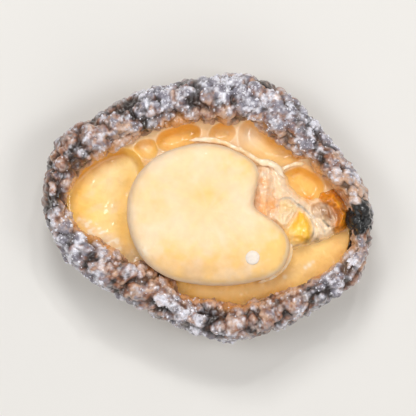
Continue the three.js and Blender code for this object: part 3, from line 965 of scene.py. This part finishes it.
    def crystals(self, shape, colours, points, facing, frost, turn):
        """Loose crystals, half sunk, most of them where the frost is thick: stretched
        octahedra, each turned its own way, joined into one mesh."""
        random = np.random.default_rng(7)
        first, last = (math.radians(limit) for limit in self.CRYSTALS)
        on_top = ((turn > first) & (turn < last)).ravel()
        weight = frost.ravel() ** 2 * on_top * step(1.0, 1.3, self.stump_share(points))
        count = shape.crystal_count
        chosen = random.choice(len(points), count, replace=False, p=weight / weight.sum())
        middles = points[chosen] + facing[chosen] * 0.05
        half = shape.crystal_size * random.lognormal(0, 0.45, (count, 1, 1))
        stretch = random.uniform(0.55, 1.5, (count, 1, 3))
        spin = np.linalg.qr(random.normal(size=(count, 3, 3)))[0]
        corners = np.array([[1, 0, 0], [-1, 0, 0], [0, 1, 0], [0, -1, 0], [0, 0, 1], [0, 0, -1.0]])
        corners = middles[:, None] + (corners * half * stretch) @ spin.transpose(0, 2, 1)
        faces = np.array([[0, 2, 4], [2, 1, 4], [1, 3, 4], [3, 0, 4],
                          [2, 0, 5], [1, 2, 5], [3, 1, 5], [0, 3, 5]])
        faces = faces + 6 * np.arange(count)[:, None, None]
        mirrored = np.linalg.det(spin) < 0
        faces[mirrored] = faces[mirrored][:, :, ::-1]
        material = ice_material("frost_crystals", colours.frost_white, 0.2)
        new_piece("frost_crystals", shape, corners.reshape(-1, 3), np.zeros((0, 4), int),
                  faces.reshape(-1, 3), {}, material, "frost", smooth=False)

    def stump_share(self, points):
        """How far out places lie from the tentacle's stump: 1 on the rim of its ellipse."""
        across = (points[..., :2] - self.STUMP_MIDDLE) / self.STUMP_HALF
        return superellipse(across[..., 0], across[..., 1], 2)


def swept(path, radii, columns, lift):
    """A tube along a path with a radius at each of its points. Each ring is an ellipse
    across the path, `lift` times the radius sideways and upwards."""
    path = np.asarray(path)
    ahead = np.gradient(path, axis=0)
    ahead = ahead / np.linalg.norm(ahead, axis=1, keepdims=True)
    sideways = np.cross(ahead, [0, 0, 1.0])
    sideways = sideways / np.maximum(np.linalg.norm(sideways, axis=1, keepdims=True), 1e-9)
    upwards = np.cross(sideways, ahead)
    turn = np.linspace(0, FULL_TURN, columns, endpoint=False)
    ring = (np.cos(turn)[None, :, None] * sideways[:, None] * lift[0]
            + np.sin(turn)[None, :, None] * upwards[:, None] * lift[1])
    return path[:, None] + ring * np.asarray(radii)[:, None, None]


def lump_grid(middle, half, turn_degrees, rows, columns, wrinkle, width, seed,
              squareness=2.0):
    """A closed lump: a ball by latitude and longitude, made squarer by a power, scaled,
    turned about Z, and pushed in and out along its normals by noise."""
    poles = 0.03  # gap between the end rings and the poles, in radians
    latitude = np.linspace(-math.pi / 2 + poles, math.pi / 2 - poles, rows)[:, None]
    longitude = np.linspace(0, FULL_TURN, columns, endpoint=False)[None, :]
    ball = np.stack([np.cos(latitude) * np.cos(longitude), np.cos(latitude) * np.sin(longitude),
                     np.sin(latitude) * np.ones_like(longitude)], -1)
    ball = ball / (np.abs(ball) ** squareness).sum(-1, keepdims=True) ** (1 / squareness)
    turn = math.radians(turn_degrees)
    turned = np.array([[math.cos(turn), -math.sin(turn), 0],
                       [math.sin(turn), math.cos(turn), 0], [0, 0, 1]])
    points = (ball * half) @ turned.T + middle
    push = wrinkle * rough(points, width, seed)
    return points + normals_of(points) * push[..., None]


class ABALONE_OT_strands(bpy.types.Operator):
    """Strands of skin along the muscle's upper edge, at its lower right, and by the gut's pocket"""
    bl_idname = "abalone.strands"
    bl_label = "Strands"

    # Routes in millimetres from the muscle's middle, and each one's half thickness
    ROUTES = [
        ([(-4.5, 15.7, 15.0), (-1.5, 15.9, 15.4), (2.8, 15.4, 15.8), (5.9, 14.0, 16.4),
          (8.2, 13.0, 17.0), (10.0, 11.6, 17.8), (12.0, 10.8, 18.2), (14.2, 10.2, 18.0),
          (15.8, 9.0, 17.2), (17.0, 7.2, 16.6)], 0.45),
        ([(18.3, -6.8, 15.8), (18.6, -8.8, 15.9), (17.9, -11.6, 15.8), (16.1, -13.9, 15.6),
          (13.6, -15.6, 15.2), (11.2, -16.5, 14.6)], 0.3),
        ([(15.8, 8.6, 15.9), (17.4, 9.6, 15.2), (19.4, 10.3, 14.8), (21.6, 10.4, 14.6)], 0.32),
    ]
    ROWS = 140
    COLUMNS = 14
    LIFT = (1.4, 0.7)

    def execute(self, context):
        shape, colours = settings_of(context)
        along = np.linspace(0, 1, self.ROWS)
        skins = []
        for number, (route, thickness) in enumerate(self.ROUTES):
            path = smooth_path(route, self.ROWS)
            ends = step(0, 0.08, along) * step(1, 0.92, along)
            radii = thickness * (0.25 + 0.75 * ends) * (1 + 0.3 * noise(path, 2.5, 131 + number))
            grid = swept(path, radii, self.COLUMNS, self.LIFT)
            grid = grid + 0.12 * rough(grid, 1.2, 141 + number)[..., None]
            pale = (0.3 + 0.7 * step(-0.3, 0.6, noise(grid, 3, 137))) * step(0.15, 0.4, thickness)
            tint = mix(colours.strand, colours.pale_skin, pale)
            tint = mix(tint, colours.rime, 0.6 * step(-0.1, 0.5, noise(grid, 1.1, 139)))
            skins.append(closed_skin(grid, {"tint": tint}))
        material = flesh_material("moist_strand_skin", 0.32, 0.4, 0.4, [(0.8, 0.03)], (2, 0.05))
        new_piece("strands", shape, *join_skins(skins), material, "abalone_meat")
        return {"FINISHED"}


class ABALONE_OT_mouth(bpy.types.Operator):
    """The mouth parts: a creased mass of soft lobes, and the black stump of a tentacle"""
    bl_idname = "abalone.mouth"
    bl_label = "Mouth parts"

    MIDDLE = (21.0, 0.9)
    HALF = (12.3, 10.6)
    SQUARENESS = 4
    BOTTOM = 10.4
    COLUMNS = 620
    ROWS = 124
    BLEND = 2.2  # heights closer than this flow together
    FALL = 3  # how steeply a lobe falls off outside its outline
    # Lobes: two colours that are blended in patches, height of the edge, rise of the crown
    # over it, width of the rounded edge, height of the creases, strength of the pale rim,
    # factors along X and Y for the creases' pattern (a factor under 1 draws it out that
    # way), and points of the outline. Lengths are in millimetres.
    LOBES = [
        ("fold", "flap", 14.6, 1.4, 2.2, 0.25, 0.3, (1, 1), [
            (11.2, 8.6), (13.4, 9.7), (16.4, 8.0), (18.8, 4.2), (22.0, 1.6), (25.0, 2.0),
            (28.0, 1.6), (29.4, -1.8), (28.2, -4.6), (25.6, -6.6), (20.2, -7.8), (17.0, -7.6),
            (14.6, -4.8), (11.4, -4.2), (10.6, 0.5), (10.6, 5.0)]),
        ("membrane", "lip", 15.0, 1.3, 1.6, 0.4, 0.4, (1, 0.35), [
            (21.1, 1.0), (23.0, 0.8), (24.6, 0.2), (25.9, -2.0), (27.2, -3.4), (27.8, -4.6),
            (26.8, -6.0), (25.3, -6.3), (23.7, -6.7), (23.4, -4.4), (22.7, -1.9), (21.8, -0.3)]),
        ("mantle", "flap", 14.6, 3.0, 1.8, 0.35, 0.2, (1, 1), [
            (28.6, 4.6), (29.6, 6.2), (31.4, 6.0), (32.9, 3.9), (33.0, 1.0), (31.6, -0.6),
            (30.9, 1.3), (29.9, 3.0)]),
        ("fold", "flap", 16.2, 1.8, 3.0, 0.25, 0.4, (1, 1), [
            (13.2, 10.3), (15.3, 9.5), (16.6, 7.6), (17.8, 5.1), (19.5, 3.0), (22.3, 0.9),
            (21.2, -0.3), (20.2, 0.8), (18.9, 2.2), (17.4, 3.2), (15.8, 2.9), (14.9, 4.4),
            (14.3, 7.2)]),
        ("flap", "flap_warm", 17.2, 2.0, 3.4, 0.4, 0.6, (1, 0.9), [
            (10.6, 9.0), (12.0, 10.2), (13.2, 9.3), (14.2, 7.0), (14.7, 4.8), (14.4, 3.0),
            (15.4, 1.0), (15.2, -1.4), (14.2, -3.0), (12.2, -3.2), (10.8, -1.8), (10.0, 0.4),
            (9.9, 3.2), (10.1, 6.4)]),
        ("jaw_lobe", "lip", 15.2, 1.4, 1.6, 0.2, 0.4, (1, 1), [
            (17.2, -4.0), (18.6, -3.8), (19.9, -5.1), (20.9, -6.7), (20.5, -7.7), (18.9, -8.3),
            (17.6, -7.8), (17.0, -6.0)]),
        ("jaw", "jaw_deep", 16.0, 1.8, 1.8, 0.2, 0, (1, 0.6), [
            (20.0, 0.1), (21.6, -0.7), (22.8, -2.4), (23.4, -4.4), (23.2, -6.0), (22.2, -7.1),
            (20.6, -7.2), (18.6, -7.2), (17.2, -6.2), (17.0, -4.8), (18.2, -3.6),
            (19.2, -2.0)]),
        ("lip", "flap", 16.6, 1.8, 1.8, 0.35, 0.6, (1, 1), [
            (15.2, 1.0), (15.7, 2.3), (17.0, 3.0), (18.6, 2.8), (19.8, 1.7), (20.3, 0.5),
            (19.9, -0.6), (18.9, -2.2), (17.9, -3.7), (16.6, -4.4), (15.3, -3.9), (14.7, -2.5),
            (14.8, -0.6)]),
        ("gland", "snout_dark", 16.0, 0.6, 1.4, 0.5, 0.1, (1, 0.4), [
            (23.4, 0.6), (25.0, 1.0), (26.8, 0.6), (28.0, -0.8), (28.2, -2.4), (27.4, -3.6),
            (26.4, -2.4), (24.6, -1.8), (23.6, -0.8)]),
        ("snout", "snout_dark", 15.2, 2.6, 1.8, 0.4, 0, (1, 1), [
            (25.6, 2.4), (26.2, 3.7), (28.0, 4.3), (29.4, 3.2), (30.4, 1.6), (31.2, -0.3),
            (31.1, -2.2), (30.4, -3.8), (29.1, -4.7), (27.9, -4.4), (27.6, -3.5), (28.6, -2.6),
            (28.9, -1.3), (27.9, 0.0), (26.5, 0.9), (25.7, 1.5)]),
    ]
    # Ridges and lines: colour, strength, half width and rise in millimetres, and the path
    LINES = [
        ("lip_inside", 0.75, 1.2, -1.1, [(17.2, 1.2), (18.6, 0.3)]),
        ("lip_rim", 0.65, 0.38, 0.35, [(15.3, 0.8), (15.9, 2.1), (17.2, 2.7), (18.6, 2.5),
                                       (19.8, 1.4), (21.2, 0.0)]),
        ("jaw_edge", 0.7, 0.28, 0.1, [(20.2, 1.2), (21.6, 0.1), (22.9, -1.7), (23.6, -3.8),
                                      (23.5, -5.5), (22.6, -6.9)]),
        ("pale_skin", 0.8, 0.35, 0.45, [(15.2, -2.0), (16.1, -3.1), (17.3, -3.2), (18.4, -2.1),
                                        (19.1, -0.9)]),
        ("fold", 0.6, 0.3, 0.3, [(15.8, -0.8), (16.8, -1.5), (17.9, -1.0), (18.6, 0.0)]),
        ("pale_skin", 0.55, 0.25, 0.4, [(27.9, -1.2), (28.5, -2.5), (28.1, -3.8), (27.4, -4.5)]),
        ("snout_dark", 0.6, 0.3, -0.3, [(28.9, -1.0), (29.3, -2.4), (28.9, -4.0)]),
        ("lip_rim", 0.45, 0.3, 0.3, [(20.9, 0.8), (22.9, -1.0), (24.8, -2.9), (26.1, -4.8)]),
        ("pale_skin", 0.7, 0.3, 0.35, [(20.7, 0.2), (22.6, -1.5), (24.3, -3.5), (25.2, -5.4)]),
        # A slit, painted black for the shade inside it
        ("tentacle", 0.85, 0.28, -0.4, [(25.8, -2.4), (26.4, -3.1), (27.0, -3.7)]),
        ("fold", 0.6, 0.2, 0.2, [(24.0, 0.7), (25.2, -0.9), (25.8, -2.2)]),
        ("snout_dark", 0.6, 0.25, -0.25, [(26.4, 0.9), (27.2, -0.6), (27.5, -2.0)]),
        ("snout_dark", 0.6, 0.28, -0.2, [(18.4, -8.8), (19.8, -8.0), (21.4, -7.6),
                                         (23.2, -7.3), (25.6, -7.0)]),
    ]
    # Spots: colour, strength, place and reach in millimetres
    SPOTS = [
        ("tentacle", 0.85, (22.2, -7.1), 0.8), ("tentacle", 0.8, (24.4, -6.9), 0.7),
        ("flap_warm", 0.6, (12.9, 6.2), 1.3), ("flap_warm", 0.5, (11.8, 9.0), 0.7),
        ("flap_warm", 0.9, (13.9, 0.8), 1.9), ("flap_warm", 0.5, (12.2, -1.8), 1.0),
        ("pale_skin", 0.7, (12.6, 10.2), 1.1), ("pale_skin", 0.6, (15.6, 8.0), 1.2),
        ("snout_dark", 0.7, (27.3, 2.0), 0.5), ("snout_dark", 0.7, (28.6, 2.9), 0.45),
        ("snout_dark", 0.7, (29.9, 0.1), 0.5), ("snout_dark", 0.6, (28.3, 1.1), 0.4),
        # The rime spot at (11.9, 8.0) is a painted glint on a pale knot at the flap's top
        ("jaw", 0.5, (29.4, 1.6), 0.7), ("rime", 0.8, (11.9, 8.0), 0.5),
        ("pale_skin", 0.5, (24.2, -0.6), 0.7), ("jaw_lobe", 0.9, (17.6, -5.6), 2.0),
    ]

    def execute(self, context):
        shape, colours = settings_of(context)
        self.mass(shape, colours)
        self.tentacle(shape, colours)
        return {"FINISHED"}

    def mass(self, shape, colours):
        """All the soft lobes as one closed skin, on rings that shrink from a squarish rim
        to its middle. Its height is that of the highest lobe at each place."""
        turn = np.linspace(0, FULL_TURN, self.COLUMNS, endpoint=False)
        rim = 1 / superellipse(np.cos(turn), np.sin(turn), self.SQUARENESS)
        share = np.concatenate([[0.02, 1], np.linspace(1, 0.006, self.ROWS)])[:, None]
        x = self.MIDDLE[0] + self.HALF[0] * share * rim * np.cos(turn)
        y = self.MIDDLE[1] + self.HALF[1] * share * rim * np.sin(turn)
        place = np.stack([x, y, np.zeros_like(x)], -1)
        height, tint = self.lobes(colours, x, y, place)
        height, tint = self.details(colours, x, y, place, height, tint)
        height[:2] = self.BOTTOM
        skin = closed_skin(np.stack([x, y, height], -1), {"tint": tint})
        material = flesh_material("moist_mouth_skin", 0.22, 1.0, 0.4, [(0.9, 0.06)], (1.4, 0.06))
        new_piece("mouth_parts", shape, *skin, material, "mouth_parts")

    def lobes(self, colours, x, y, place):
        """Height and colour at each place. A lobe rises to its crown as a parabola
        over the width of its edge and falls off ever more steeply outside it, with pale
        rims and veins. Lobes join as a smooth maximum."""
        height = np.full(x.shape, self.BOTTOM + 0.6)
        tint = np.ones(place.shape) * np.array(colours.strand)
        wander = 0.22 * rough(place, 1.8, 290, 2)
        vein = np.exp(-(rough(place, 1.5, 391, 2) / 0.1) ** 2)
        for number, lobe in enumerate(self.LOBES):
            name, patch_name, base, rise, edge, crease, rim, stretch, outline = lobe
            depth = depth_inside(x, y, outline) + wander
            outside = np.clip(-depth, 0, None)
            round_edge = 1 - np.clip(depth / edge, 0, 1)
            creased = place * (*stretch, 1)
            lobe_height = (base + rise * (1 - round_edge ** 2)
                           + crease * rough(creased, 1.7, 300 + number)
                           - outside * (1 + self.FALL * outside))
            patch = (0.5 * step(0.0, 0.8, rough(creased, 2.0, 330 + number))
                     + 0.3 * step(0.0, 0.7, rough(place, 0.8, 350 + number, 2)))
            own = mix(getattr(colours, name), getattr(colours, patch_name), patch)
            pale = rim * np.maximum(np.exp(-((depth - 0.3) / 0.35) ** 2), 0.8 * vein)
            own = mix(own, colours.pale_skin, pale)
            share = np.clip(0.5 + (lobe_height - height) / self.BLEND, 0, 1)
            height = height + (lobe_height - height) * share + self.BLEND / 2 * share * (1 - share)
            tint = mix(tint, own, share)
        return height + 0.1 * rough(place, 0.8, 393, 2), tint

    def details(self, colours, x, y, place, height, tint):
        """The same height and colour with the lines and spots."""
        uneven = 0.75 + 0.35 * noise(place, 0.9, 370)
        for name, strength, half_width, rise, path in self.LINES:
            near = near_path(x, y, path, half_width) * uneven
            height = height + rise * near
            tint = mix(tint, getattr(colours, name), strength * near)
        uneven = 0.8 + 0.4 * rough(place, 1.2, 380)
        for name, strength, spot, reach in self.SPOTS:
            near = near_spot(x, y, spot, reach) * uneven
            tint = mix(tint, getattr(colours, name), np.clip(strength * near, 0, 1))
        return height, tint

    def tentacle(self, shape, colours):
        """The black stump of a tentacle, with a knobbly skin."""
        grid = lump_grid((34.0, -2.4, 15.6), (2.0, 3.0, 3.2), turn_degrees=12, rows=90,
                         columns=130, wrinkle=0.8, width=2.4, seed=201, squareness=2.4)
        knob, owner = knobs(grid, 1.5, 203)
        grid = grid + normals_of(grid) * (0.8 * knob)[..., None]
        tint = mix(colours.tentacle, colours.frost_grey, 0.35 * step(0.75, 0.95, owner))
        material = flesh_material("wet_dark_skin", 0.3, 0.3, 0.05, [(0.5, 0.06)], (0.8, 0.3))
        new_piece("tentacle_stump", shape, *closed_skin(grid, {"tint": tint}), material,
                  "mouth_parts")


class ABALONE_OT_ice_disc(bpy.types.Operator):
    """A small disc of ice on the shell muscle"""
    bl_idname = "abalone.ice_disc"
    bl_label = "Ice disc"

    MIDDLE = (9.7, -10.6)
    REACH = 1.6
    RISE = 0.45

    def execute(self, context):
        shape, colours = settings_of(context)
        height = float(shape.muscle_height(*map(np.array, self.MIDDLE)))
        grid = lump_grid((*self.MIDDLE, height), (self.REACH, self.REACH, self.RISE),
                         turn_degrees=0, rows=40, columns=64, wrinkle=0.04, width=1.2, seed=211)
        new_piece("ice_disc", shape, *closed_skin(grid, {}),
                  ice_material("white_ice", colours.ice, 0.6), "frost")
        return {"FINISHED"}


class ABALONE_OT_stage(bpy.types.Operator):
    """The pale floor, the soft lights and the camera straight above"""
    bl_idname = "abalone.stage"
    bl_label = "Stage"

    FLOOR_HALF = 1.5
    VIEW_WIDTH = 0.094  # the width that the picture covers
    CAMERA_HEIGHT = 0.6
    AIM_HEIGHT = 0.015  # the height that VIEW_WIDTH is measured at
    SKY_COLOUR = (1.0, 0.97, 0.94, 1)
    SKY_STRENGTH = 0.33
    # Lights: name, place, size, watts
    LIGHTS = [("left", (-0.34, 0.08, 0.72), 0.25, 1.3),
              ("right", (0.38, 0.0, 0.68), 0.25, 1.35),
              ("key", (-0.05, 0.38, 0.55), 0.16, 1.5),
              ("fill", (0.1, -0.4, 0.5), 0.5, 0.9),
              ("spark", (0.1, 0.3, 0.5), 0.03, 0.3)]

    def execute(self, context):
        colours = context.scene.abalone_colours
        half = self.FLOOR_HALF
        mesh = bpy.data.meshes.new("floor")
        mesh.from_pydata([(-half, -half, 0), (half, -half, 0), (half, half, 0), (-half, half, 0)],
                         [], [(0, 1, 2, 3)])
        floor = bpy.data.objects.new("floor", mesh)
        context.scene.collection.objects.link(floor)
        mesh.materials.append(board_material(colours.floor))
        for name, place, size, watts in self.LIGHTS:
            self.add_light(context, name, place, size, watts)
        world = bpy.data.worlds.new("soft_grey")
        world.use_nodes = True
        background = world.node_tree.nodes["Background"]
        background.inputs["Color"].default_value = self.SKY_COLOUR
        background.inputs["Strength"].default_value = self.SKY_STRENGTH
        context.scene.world = world
        context.scene.view_settings.view_transform = "Standard"
        self.add_camera(context)
        return {"FINISHED"}

    def add_light(self, context, name, place, size, watts):
        """A square lamp that faces the origin."""
        light = bpy.data.lights.new(name, "AREA")
        light.size = size
        light.energy = watts
        lamp = bpy.data.objects.new(name, light)
        lamp.location = place
        aim = -lamp.location
        lamp.rotation_euler = aim.to_track_quat("-Z", "Y").to_euler()
        context.scene.collection.objects.link(lamp)

    def add_camera(self, context):
        """Straight above, with the head to the right, far enough off to look flat."""
        camera = bpy.data.cameras.new("camera")
        camera.lens = camera.sensor_width * self.CAMERA_HEIGHT / self.VIEW_WIDTH
        holder = bpy.data.objects.new("camera", camera)
        holder.location = (0, 0, self.CAMERA_HEIGHT + self.AIM_HEIGHT)
        context.scene.collection.objects.link(holder)
        context.scene.camera = holder


class ABALONE_PT_panel(bpy.types.Panel):
    """Buttons for the abalone's pieces, and its sizes and colours"""
    bl_idname = "ABALONE_PT_panel"
    bl_label = "Abalone"
    bl_space_type = "VIEW_3D"
    bl_region_type = "UI"
    bl_category = "Abalone"

    def draw(self, context):
        for operator in OPERATORS:
            self.layout.operator(operator.bl_idname)
        for group in (context.scene.abalone_sizes, context.scene.abalone_colours):
            box = self.layout.box()
            for name in group.__annotations__:
                box.prop(group, name)


OPERATORS = (ABALONE_OT_stage, ABALONE_OT_foot, ABALONE_OT_shell_muscle, ABALONE_OT_frill,
             ABALONE_OT_strands, ABALONE_OT_mouth, ABALONE_OT_ice_disc)
CLASSES = (AbaloneSizes, AbaloneColours, *OPERATORS, ABALONE_PT_panel)


def register():
    for cls in CLASSES:
        bpy.utils.register_class(cls)
    bpy.types.Scene.abalone_sizes = PointerProperty(type=AbaloneSizes)
    bpy.types.Scene.abalone_colours = PointerProperty(type=AbaloneColours)


def unregister():
    del bpy.types.Scene.abalone_colours
    del bpy.types.Scene.abalone_sizes
    for cls in reversed(CLASSES):
        bpy.utils.unregister_class(cls)


def main():
    """Makes the stage and every piece."""
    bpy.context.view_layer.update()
    register()
    for operator in OPERATORS:
        group, name = operator.bl_idname.split(".")
        getattr(getattr(bpy.ops, group), name)()


if __name__ == "__main__":
    main()
